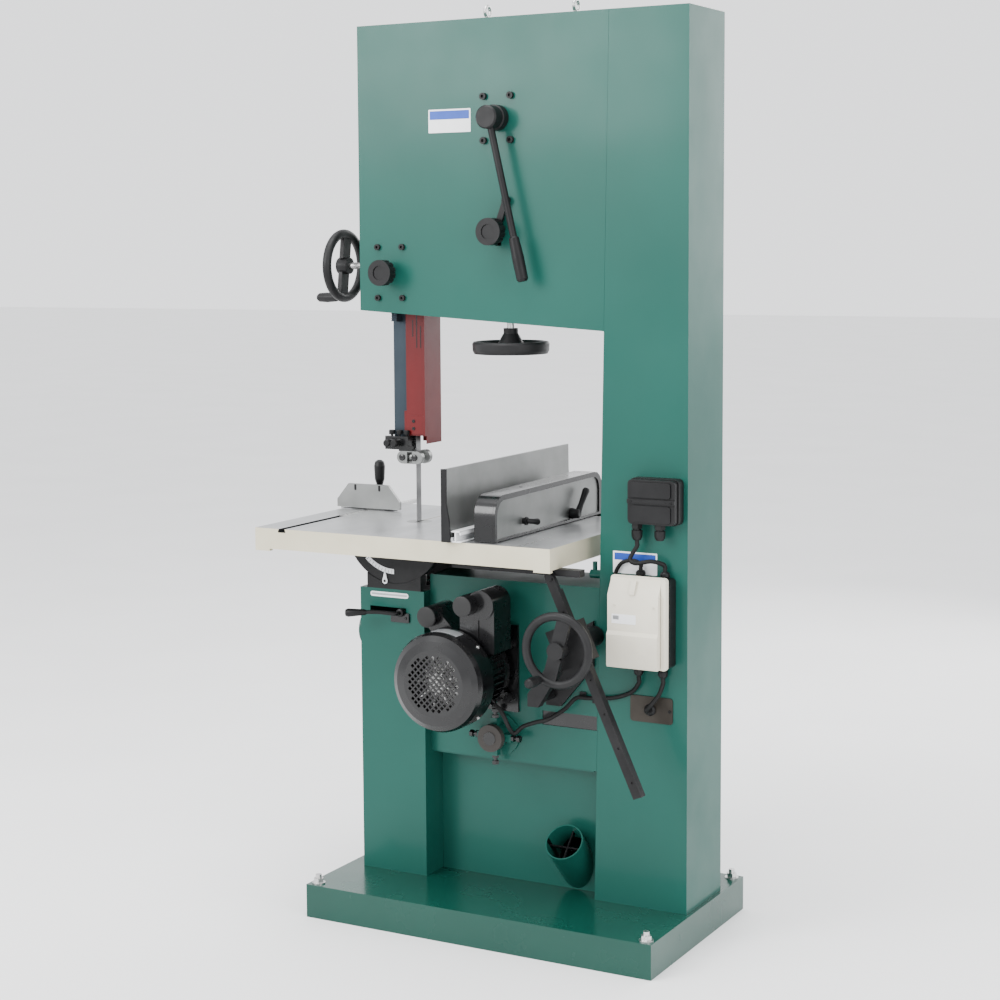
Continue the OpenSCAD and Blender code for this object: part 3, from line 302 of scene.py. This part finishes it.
def rounded(x, z, r, steps=6):
    """Outline of a rectangle with rounded corners."""
    out = []
    for cx, cz, start in ((x[1] - r, z[1] - r, 0), (x[0] + r, z[1] - r, 90),
                          (x[0] + r, z[0] + r, 180), (x[1] - r, z[0] + r, 270)):
        for i in range(steps + 1):
            a = math.radians(start + 90 * i / steps)
            out.append((cx + r * math.cos(a), cz + r * math.sin(a)))
    return out


def disc(cx, cz, r, steps=40):
    return [(cx + r * math.cos(math.tau * i / steps), cz + r * math.sin(math.tau * i / steps))
            for i in range(steps)]


def add_lathe(bm, profile, origin, axis, steps=48):
    """Turns (radius, height) pairs in millimetres about an axis through origin."""
    frame_of = Vector(axis).normalized().to_track_quat("Z", "Y").to_matrix()
    base = Vector(origin)
    rings = []
    for r, h in profile:
        if r <= 0:
            rings.append([bm.verts.new((base + frame_of @ Vector((0, 0, h))) * MM)])
            continue
        rings.append([bm.verts.new((base + frame_of @ Vector(
            (r * math.cos(math.tau * i / steps), r * math.sin(math.tau * i / steps), h))) * MM)
            for i in range(steps)])
    for a, b in zip(rings, rings[1:]):
        for i in range(steps):
            j = (i + 1) % steps
            quad = [a[i % len(a)], a[j % len(a)], b[j % len(b)], b[i % len(b)]]
            quad = list(dict.fromkeys(quad))
            if len(quad) > 2:
                bm.faces.new(quad)
    for ring in (rings[0], rings[-1]):
        if len(ring) > 2:
            bm.faces.new(ring)


def curve_points(route, n=8):
    """Smooth curve through the route's points."""
    q = [Vector(p) for p in route]
    out = []
    for i in range(len(q) - 1):
        a, b, c, d = q[max(i - 1, 0)], q[i], q[i + 1], q[min(i + 2, len(q) - 1)]
        for k in range(n):
            t = k / n
            out.append(0.5 * (2 * b + (c - a) * t + (2 * a - 5 * b + 4 * c - d) * t * t
                              + (3 * b - a - 3 * c + d) * t ** 3))
    return out + [q[-1]]


def add_tube(bm, points, r, sides=14, closed=False):
    """Round tube along points in millimetres, with no twist."""
    pts = [Vector(p) for p in points]
    n = len(pts)
    heading = []
    for i in range(n):
        a, b = (pts[i - 1], pts[(i + 1) % n]) if closed else (pts[max(i - 1, 0)], pts[min(i + 1, n - 1)])
        heading.append((b - a).normalized())
    side = heading[0].orthogonal().normalized()
    rings = []
    for i in range(n):
        side = (side - heading[i] * side.dot(heading[i])).normalized()
        other = heading[i].cross(side)
        rings.append([bm.verts.new((pts[i] + r * (math.cos(math.tau * k / sides) * side
                                                  + math.sin(math.tau * k / sides) * other)) * MM)
                      for k in range(sides)])
    pairs = list(zip(rings, rings[1:])) + ([(rings[-1], rings[0])] if closed else [])
    for a, b in pairs:
        for k in range(sides):
            bm.faces.new((a[k], a[(k + 1) % sides], b[(k + 1) % sides], b[k]))
    if not closed:
        bm.faces.new(rings[0])
        bm.faces.new(rings[-1])


# ------------------------------------------------------------------ cords: radius and route
CORDS = {
    "supply_cord": (5.5, [(-362, 84, 1040), (-362, 84, 1032), (-362, 84, 1024), (-350, 86, 1004),
                          (-346, 90, 990), (-362, 92, 982), (-400, 84, 988), (-426, 74, 982),
                          (-432, 70, 974), (-432, 70, 968), (-432, 70, 962)]),
    "switch_cord": (5, [(-366, 70, 962), (-366, 70, 969), (-366, 70, 976), (-346, 67, 984),
                        (-312, 65, 976), (-292, 64, 944), (-288, 64, 906), (-288, 64, 880)]),
    "motor_cord": (5.5, [(-361, 70, 694), (-361, 70, 684), (-361, 70, 674), (-340, 68, 648), (-298, 66, 630),
                         (-250, 68, 622), (-215, 68, 620), (-186, 72, 617), (-162, 92, 589), (-130, 122, 566),
                         (-96, 124, 555), (-60, 124, 540), (-36, 126, 520), (-28, 140, 536), (-20, 148, 562),
                         (-7, 150, 584), (1, 150, 590), (9, 150, 596)]),
    "plate_cord": (5.5, [(-427, 70, 694), (-427, 70, 686), (-427, 70, 678), (-420, 78, 652), (-404, 86, 628),
                         (-390, 88, 612), (-388, 82, 606), (-388, 75, 606), (-388, 69, 606)]),
}


def cords():
    """Smooth cords on the routes that the CAD tubes follow."""
    for name, (r, route) in CORDS.items():
        bm = bmesh.new()
        add_tube(bm, curve_points(route), r, 16)
        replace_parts(new_piece(name, bm, "rubber", width=0), "cords")


cords()


# ------------------------------------------------------------------ rounded edges on the CAD pieces
SHARP = {"base_tray": 2.5, "column": 2.2, "upper_housing": 2.0, "lower_housing": 1.6, "pedestal": 2.2,
         "upper_door": 1.2, "lower_door": 1.2, "table": 2.0, "starter_box": 2.5, "junction_box": 2.0,
         "fence": 0.8, "miter_head": 0.8, "motor_body": 1.0, "tilt_bracket": 1.5, "tilt_housing": 1.2,
         "lower_trunnion": 1.2, "table_trunnions": 1.0, "cord_fixings": 0.8, "blade_guard": 0.3,
         "guide_post": 0.6, "upper_guide": 0.7, "release_lever": 0.8, "tracking_lever": 1.2}


def round_cad_edges():
    for name, width in SHARP.items():
        bevel(NODES[name], width * MM, 40, 2)


round_cad_edges()


# ------------------------------------------------------------------ finishes within one CAD piece, and painted shade
def repaint(node, *rules):
    """Gives parts of a CAD piece another finish.

    A rule is a finish and a test of a face's centre, in millimetres, and its normal.
    The last rule that fits wins."""
    me = NODES[node].data
    for finish, test in rules:
        me.materials.append(MATS[finish])
        index = len(me.materials) - 1
        for p in me.polygons:
            c = p.center / MM
            if test(c, p.normal):
                p.material_index = index


def off_axis(c, x, z):
    return math.hypot(c.x - x, c.z - z)


def in_dust_port(c):
    """Inside the rear dust port, whose bore slopes at 45 degrees."""
    return -4 < c.y and c.z < 320 and math.hypot(c.x + 150, c.y - c.z + 163) < 48.4


def two_tones_and_painted_shade():
    repaint("table",
            ("cream_paint", lambda c, n: n.z < 0.7),
            ("cast_iron", lambda c, n: 584 < c.x < 611 and 1010 < c.z < 1026.8),
            ("cast_iron", lambda c, n: c.z < 1012.5 and abs(c.x - 242) < 428 and abs(c.y + 55) < 286),
            ("cast_iron", lambda c, n: c.z < 1012 and 177 < c.y < 207 and c.x < 101))
    repaint("miter_head", ("black_plastic", lambda c, n: c.y < -201.5 and c.z > 1027))
    repaint("hub_adjuster",
            ("brown_grey", lambda c, n: c.y > 100),
            ("black_paint", lambda c, n: 78 < c.y < 103.5 and off_axis(c, HUB_X, HUB_Z) > 51))
    repaint("lower_shaft", ("black_paint", lambda c, n: c.y > 95))
    repaint("fasteners", ("black_plastic", lambda c, n: abs(c.x) < 460 and 900 < c.z < 2200))
    repaint("upper_guide", ("black_paint", lambda c, n: c.z > 1222.5))
    repaint("tension_handwheel",
            ("steel", lambda c, n: math.hypot(c.x - HUB_X, c.y + 10) < 18.5 and c.z > 1558))
    repaint("guide_handwheel", ("steel", lambda c, n: c.x < 511))
    repaint("tilt_handwheel", ("steel", lambda c, n: c.y < 256))
    repaint("tracking_knob", ("steel", lambda c, n: c.y < 73.5))
    repaint("guide_lock_knob", ("steel", lambda c, n: c.y < 57.5))
    repaint("lower_housing",
            # Painted shade: a black strip on the face just inside the rear face, standing in for the shadow
            # in the gap above the cross beam
            ("black_paint", lambda c, n: 54 < c.y < 56 and -239 < c.x < -81 and 533 < c.z < 572),
            ("black_paint", lambda c, n: in_dust_port(c)))


two_tones_and_painted_shade()


# ------------------------------------------------------------------ labels, all blank
def label(name, x, z, y, bands, r=2.0):
    """A blank plate label on a rear face: a white field and bands of colour (low, high, finish) in z."""
    bm = bmesh.new()
    add_prism(bm, rounded(x, z, r), y, y + 0.5, on_rear)
    new_piece(name, bm, "green_paint", width=LABEL_EDGE, finish="label_white")
    for i, (lo, hi, finish) in enumerate(bands):
        bm = bmesh.new()
        add_prism(bm, rounded((x[0] + 4, x[1] - 4), (lo, hi), 0.8), y + 0.4, y + 0.8, on_rear)
        new_piece("%s_band_%d" % (name, i), bm, "green_paint", width=LABEL_EDGE, finish=finish)


def labels():
    label("upper_label", (118, 243), (2064, 2124), REAR, [(2098, 2120, "label_blue")])
    label("column_label", (-405, -284), (948, 1004), REAR, [(982, 1000, "label_blue")])
    label("lock_label", (300, 418), (838.5, 852), PEDESTAL_REAR, [(843, 848, "label_grey")], r=6)


labels()


# ------------------------------------------------------------------ electrical boxes
def screw_head(bm, origin, axis, r, h):
    """A pan head with a hexagonal socket."""
    add_lathe(bm, [(r, 0), (r, h * 0.7), (r * 0.86, h), (r * 0.42, h), (r * 0.42, h * 0.4), (0, h * 0.4)],
              origin, axis, 24)


def gland(bm, origin, axis, r, h):
    """A cord gland: hexagonal base nut, ribbed dome nut and a clear bore for the cord."""
    add_lathe(bm, [(r, 0), (r, h * 0.3)], origin, axis, 6)
    add_lathe(bm, [(r * 0.72, h * 0.3), (r * 0.72, h * 0.38), (r * 0.95, h * 0.4), (r * 0.95, h * 0.78),
                   (r * 0.66, h), (r * 0.45, h)], origin, axis, 12)


def starter_box():
    bm = bmesh.new()
    add_prism(bm, rounded((-456, -304), (722, 946), 9), REAR, 98, on_rear)
    for x in (-366, -432):
        gland(bm, (x, 70, 942), (0, 0, 1), 13, 20)
    for x in (-361, -427):
        gland(bm, (x, 70, 722), (0, 0, -1), 13, 28)
    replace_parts(new_piece("starter_back", bm, "black_plastic", width=1.4 * MM), "starter_box")
    bm = bmesh.new()
    add_prism(bm, rounded((-454, -300), (719, 952), 9), 98, 106, on_rear)
    side = [(105, 723), (135, 723), (138, 728), (138, 806), (STARTER_FRONT, 815), (STARTER_FRONT, 905),
            (107, 946), (105, 946)]
    add_prism(bm, side, -440, -302, on_side)
    add_prism(bm, rounded((-454, -441), (721, 950), 5), 106, 117, on_rear)
    new_piece("starter_cover", bm, "cream_plastic", width=1.8 * MM)
    bm = bmesh.new()
    add_prism(bm, [(112, 940), (124, 912), (133, 908), (133, 914), (117, 944)], -376, -362, on_side)
    for x in (-322, -428):
        screw_head(bm, (x, STARTER_FRONT, 880), (0, 1, 0), 3.2, 1.6)
    new_piece("starter_catch", bm, "cream_plastic", width=0.8 * MM)
    bm = bmesh.new()
    add_prism(bm, rounded((-380, -314), (834, 858), 1.5), STARTER_FRONT, STARTER_FRONT + 0.6, on_rear)
    new_piece("starter_label", bm, "cream_plastic", width=LABEL_EDGE, finish="label_white")
    bm = bmesh.new()
    add_prism(bm, rounded((-334, -318), (844, 854), 1), STARTER_FRONT + 0.5, STARTER_FRONT + 0.9, on_rear)
    new_piece("starter_label_band", bm, "cream_plastic", width=LABEL_EDGE, finish="label_grey")


def junction_box():
    bm = bmesh.new()
    add_prism(bm, rounded((-476, -344), (1081, 1196), 12), REAR, 88, on_rear)
    add_prism(bm, rounded((-473, -346), (1083, 1194), 11), 89.5, JUNCTION_FRONT, on_rear)
    add_prism(bm, rounded((-462, -356), (1150, 1188), 6), JUNCTION_FRONT, 110, on_rear)
    add_prism(bm, rounded((-473, -346), (1134, 1146), 3), JUNCTION_FRONT, 111, on_rear)
    add_prism(bm, rounded((-462, -356), (1088, 1130), 6), JUNCTION_FRONT, 109, on_rear)
    add_prism(bm, rounded((-450, -368), (1137, 1143), 2), 111, 111.8, on_rear)
    for x in (-362, -424):
        gland(bm, (x, 84, 1082), (0, 0, -1), 14.5, 42 if x > -400 else 40)
    for x in (-355, -464):
        screw_head(bm, (x, 111, 1140), (0, 1, 0), 3.6, 1.6)
    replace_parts(new_piece("junction_cover", bm, "black_plastic", width=1.4 * MM), "junction_box")


def cable_plate():
    bm = bmesh.new()
    add_prism(bm, rounded((-449, -333), (573, 640), 8), REAR, 60, on_rear)
    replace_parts(new_piece("cable_plate", bm, "black_plastic", width=0.5 * MM, finish="bronze_plate"),
                "cord_fixings")
    bm = bmesh.new()
    screw_head(bm, (-441, 60, 606), (0, 1, 0), 4, 2.4)
    add_lathe(bm, [(15, 0), (15, 4), (11, 9), (6.5, 9)], (-388, 60, 606), (0, 1, 0), 32)
    for x, z in ((-200, 627), (-236, 612)):
        add_prism(bm, rounded((x - 9, x + 9), (z - 6, z + 6), 2), REAR, 61, on_rear)
    new_piece("cable_plate_trim", bm, "black_plastic", width=0.4 * MM)


# ------------------------------------------------------------------ fence
ARCH = [(225, 1029), (225, 1092), (222, 1112), (213, 1130), (199, 1141), (182, 1146), (-352, 1150),
        (-372, 1147), (-388, 1137), (-400, 1120), (-450, 1044), (-452, 1029)]
ARCH_IN = [(213, 1036), (213, 1090), (210, 1106), (203, 1119), (192, 1128), (178, 1132), (-350, 1136),
           (-364, 1133), (-375, 1125), (-381, 1114), (-384, 1100), (-384, 1036)]


def fence():
    bm = bmesh.new()
    add_prism(bm, [(97, 1028), (97, 1213), (91, 1213), (90, 1140), (80, 1078), (76, 1040), (76, 1028)],
              -450, 259, on_rear)
    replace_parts(new_piece("fence_face", bm, "aluminium", "fence_body", 0.6 * MM), "fence")
    bm = bmesh.new()
    cap = [(98, 1028), (98, 1214), (82, 1214), (83, 1128), (74, 1080), (72, 1028)]
    add_prism(bm, cap, 259, 264, on_rear)
    new_piece("fence_end_cap", bm, "black_plastic", "fence_body", 0.6 * MM)
    bm = bmesh.new()
    for x, z in (((46, 74), (1028, 1031)), ((60, 63), (1031, 1056)), ((46, 74), (1054, 1057)),
                 ((46, 49), (1047, 1057)), ((71, 74), (1028, 1040))):
        add_box(bm, x, (-446, 256), z)
    new_piece("fence_profile", bm, "aluminium", "fence_body", 0.4 * MM, finish="label_white")
    bm = bmesh.new()
    add_prism(bm, ARCH, -30, 24, on_side)
    ring = [[bm.verts.new(Vector((x, y, z)) * MM) for y, z in line]
            for x, line in ((-30, ARCH), (-36, ARCH), (-36, ARCH_IN), (-30.5, ARCH_IN))]
    for a, b in zip(ring, ring[1:]):
        for i in range(len(a)):
            j = (i + 1) % len(a)
            bm.faces.new((a[i], a[j], b[j], b[i]))
    for y in (-250, 60):
        add_lathe(bm, [(6, 0), (6, 34)], (22, y, 1046), (1, 0, 0), 20)
    add_box(bm, (-36, 24), (-450, -402), (960, 1029))
    add_box(bm, (-20, 10), (-403, -375), (1014, 1029))
    for y in (20, -230):
        add_prism(bm, disc(-3, y, 5, 20), 1147, 1148.4, flat_on)
    new_piece("fence_carrier", bm, "black_paint", "fence_body", 0.9 * MM)
    bm = bmesh.new()
    add_prism(bm, ARCH_IN, -31.4, -30.2, on_side)
    new_piece("fence_panel", bm, "aluminium", "fence_body", 0.2 * MM)
    bm = bmesh.new()
    add_lathe(bm, [(8, 0), (8, 6), (11, 7), (11, 12), (5, 12)], (-31, 62, 1065), (-1, 0, 0), 24)
    add_lathe(bm, [(4, 0), (6.5, 4), (7, 20), (9, 32), (7, 37), (0, 37)], (-41, 62, 1065),
              (-0.5, -0.75, -0.1), 20)
    new_piece("fence_knob", bm, "black_plastic", "fence_body", 0.5 * MM)
    bm = bmesh.new()
    add_lathe(bm, [(14, 0), (15, 5), (13, 14), (12, 26), (9, 28), (0, 28)], (-31.2, -215, 1051),
              (-1, 0, 0), 32)
    add_lathe(bm, [(9, 0), (7.5, 22), (8.5, 48), (10, 66), (8, 72), (0, 72)], (-52, -219, 1056),
              (-0.06, -0.6, 0.8), 24)
    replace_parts(new_piece("fence_clamp", bm, "black_plastic", "fence_lever_body", 0.6 * MM), "fence_lever")


# ------------------------------------------------------------------ table trunnion, scale and lock
def trunnion_details():
    band = []
    for r, angles in ((125, range(-90, -43, 3)), (112, range(-45, -91, -3))):
        band += [(TILT_X + r * math.cos(math.radians(a)), TILT_Z + r * math.sin(math.radians(a)))
                 for a in angles]
    bm = bmesh.new()
    add_prism(bm, band, 88.1, 88.7, on_rear)
    new_piece("tilt_scale", bm, "cast_iron", "table_body", LABEL_EDGE, finish="label_white")
    bm = bmesh.new()
    for a in range(-87, -46, 5):
        c, s = math.cos(math.radians(a)), math.sin(math.radians(a))
        inner = 114 if a % 2 else 117
        line = [(TILT_X + r * c + w * s, TILT_Z + r * s - w * c)
                for r, w in ((inner, -0.5), (124, -0.5), (124, 0.5), (inner, 0.5))]
        add_prism(bm, line, 88.6, 88.9, on_rear)
    new_piece("tilt_scale_marks", bm, "cast_iron", "table_body", 0, finish="black_paint")
    tip = [(372, 912)] + [(372 + 8 * math.cos(math.radians(a)), 882 + 8 * math.sin(math.radians(a)))
                          for a in range(160, 381, 20)]
    bm = bmesh.new()
    add_prism(bm, tip, 90.2, 91.4, on_rear)
    new_piece("tilt_pointer", bm, "cast_iron", "frame", 0.0002, finish="label_white")
    bm = bmesh.new()
    screw_head(bm, (372, 91.3, 882), (0, 1, 0), 3.6, 2.4)
    add_prism(bm, rounded((296, 352), (774, 799), 2), PEDESTAL_REAR, 96, on_rear)
    screw_head(bm, (306, 96, 786), (0, 1, 0), 4, 2.5)
    new_piece("lock_bracket", bm, "black_paint", "frame", 0.5 * MM)
    route = [(320, 92, 801), (320, 108, 801), (324, 118, 801), (338, 123, 802), (372, 132, 804),
             (404, 142, 803)]
    bm = bmesh.new()
    add_tube(bm, curve_points(route), 5.5, 16)
    add_lathe(bm, [(11, 0), (11, 12), (7, 14), (0, 14)], (320, 92, 801), (0, 1, 0), 28)
    add_lathe(bm, [(6, 0), (8, 6), (10, 30), (11.5, 50), (9, 57), (0, 58)], (400, 141, 803),
              (0.94, 0.33, -0.05), 28)
    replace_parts(new_piece("lock_lever", bm, "black_plastic", "table_lock_body", 0.5 * MM),
                "table_lock_lever")


# ------------------------------------------------------------------ mitre, guard, guide and motor trim
def mitre_details():
    """Clamp slots and scale edge on the mitre gauge's plate."""
    bm = bmesh.new()
    for x in (560, 640):
        add_prism(bm, rounded((x - 3.5, x + 3.5), (1081, 1098), 3), MITRE_FACE, MITRE_FACE + 0.7, on_rear)
    add_box(bm, (500, 689), (MITRE_FACE, MITRE_FACE + 0.6), (1028.2, 1031))
    new_piece("mitre_marks", bm, "black_plastic", "miter_head_body", 0.3 * MM)


def guard_details():
    bm = bmesh.new()
    add_box(bm, (306, 352), (GUARD_FACE, -20.2), (1268, 1318))
    add_prism(bm, [(303, 1264), (306, 1264), (306, 1606), (303, 1606)], GUARD_FACE, -12, on_rear)
    new_piece("guard_plate", bm, "red_paint", "guide_post_body", 0.4 * MM)
    bm = bmesh.new()
    for z in (1283, 1303):
        screw_head(bm, (343, -20.2, z), (0, 1, 0), 4.5, 2.6)
    for x, z in ((320, (1500, 1560)), (332, (1500, 1610)), (344, (1530, 1575))):
        add_prism(bm, rounded((x - 1.6, x + 1.6), z, 1.5), -22, -21.6, on_rear)
    new_piece("guard_trim", bm, "red_paint", "guide_post_body", 0.2 * MM, finish="black_paint")


def guide_details():
    """Adjusting knobs, lock knobs and screws on the upper guide."""
    bm = bmesh.new()
    knob = [(3, 0), (3, 4), (8, 4), (8.5, 5), (8.5, 14), (7, 16), (0, 16)]
    for x in (362, 384, 408):
        add_lathe(bm, knob, (x, -14, 1262), (0, 0, 1), 20)
    for x in (384, 406):
        add_lathe(bm, [(9, 0), (10.5, 1), (10.5, 9), (8, 12), (0, 12)], (x, 10, 1244), (0, 1, 0), 24)
    new_piece("guide_knobs", bm, "black_plastic", "guide_post_body", 0.4 * MM)
    bm = bmesh.new()
    for x in (330, 368):
        add_lathe(bm, [(9, 0), (9, 3), (7, 4), (0, 4)], (x, 0, 1206), (0, 1, 0), 24)
    new_piece("guide_screws", bm, "black_paint", "guide_post_body", 0.3 * MM)


def motor_details():
    bm = bmesh.new()
    add_arc_plate(bm, SHROUD_R + 0.2, SHROUD_R + 1, (78, 112), (226, 262))
    new_piece("motor_plate", bm, "black_paint", "frame", LABEL_EDGE, finish="label_grey")
    bm = bmesh.new()
    for a in range(45, 360, 90):
        c, s = math.cos(math.radians(a)), math.sin(math.radians(a))
        screw_head(bm, (MOTOR_X + SHROUD_R * c, 228, MOTOR_Z + SHROUD_R * s), (c, 0, s), 5, 3)
    new_piece("shroud_screws", bm, "black_paint", "frame", 0.3 * MM, finish="steel")
    for i, (x, z, y) in enumerate(((53, 862, 240), (167, 823, 225))):
        bm = bmesh.new()
        add_lathe(bm, [(26, 0), (26, 1), (23.5, 1.8), (0, 1.8)], (x, y, z), (0, 1, 0), 40)
        new_piece("capacitor_end_%d" % i, bm, "black_paint", "frame", 0.3 * MM, finish="soft_black")


def add_arc_plate(bm, r0, r1, angles, y):
    """A curved plate on the motor's shroud, between two angles and two depths."""
    spans = ((r0, range(angles[0], angles[1] + 1, 2)), (r1, range(angles[1], angles[0] - 1, -2)))
    outline = [(MOTOR_X + r * math.cos(math.radians(a)), MOTOR_Z + r * math.sin(math.radians(a)))
               for r, span in spans for a in span]
    add_prism(bm, outline, y[0], y[1], on_rear)


starter_box()
junction_box()
cable_plate()
fence()
trunnion_details()
guard_details()
guide_details()
mitre_details()
motor_details()
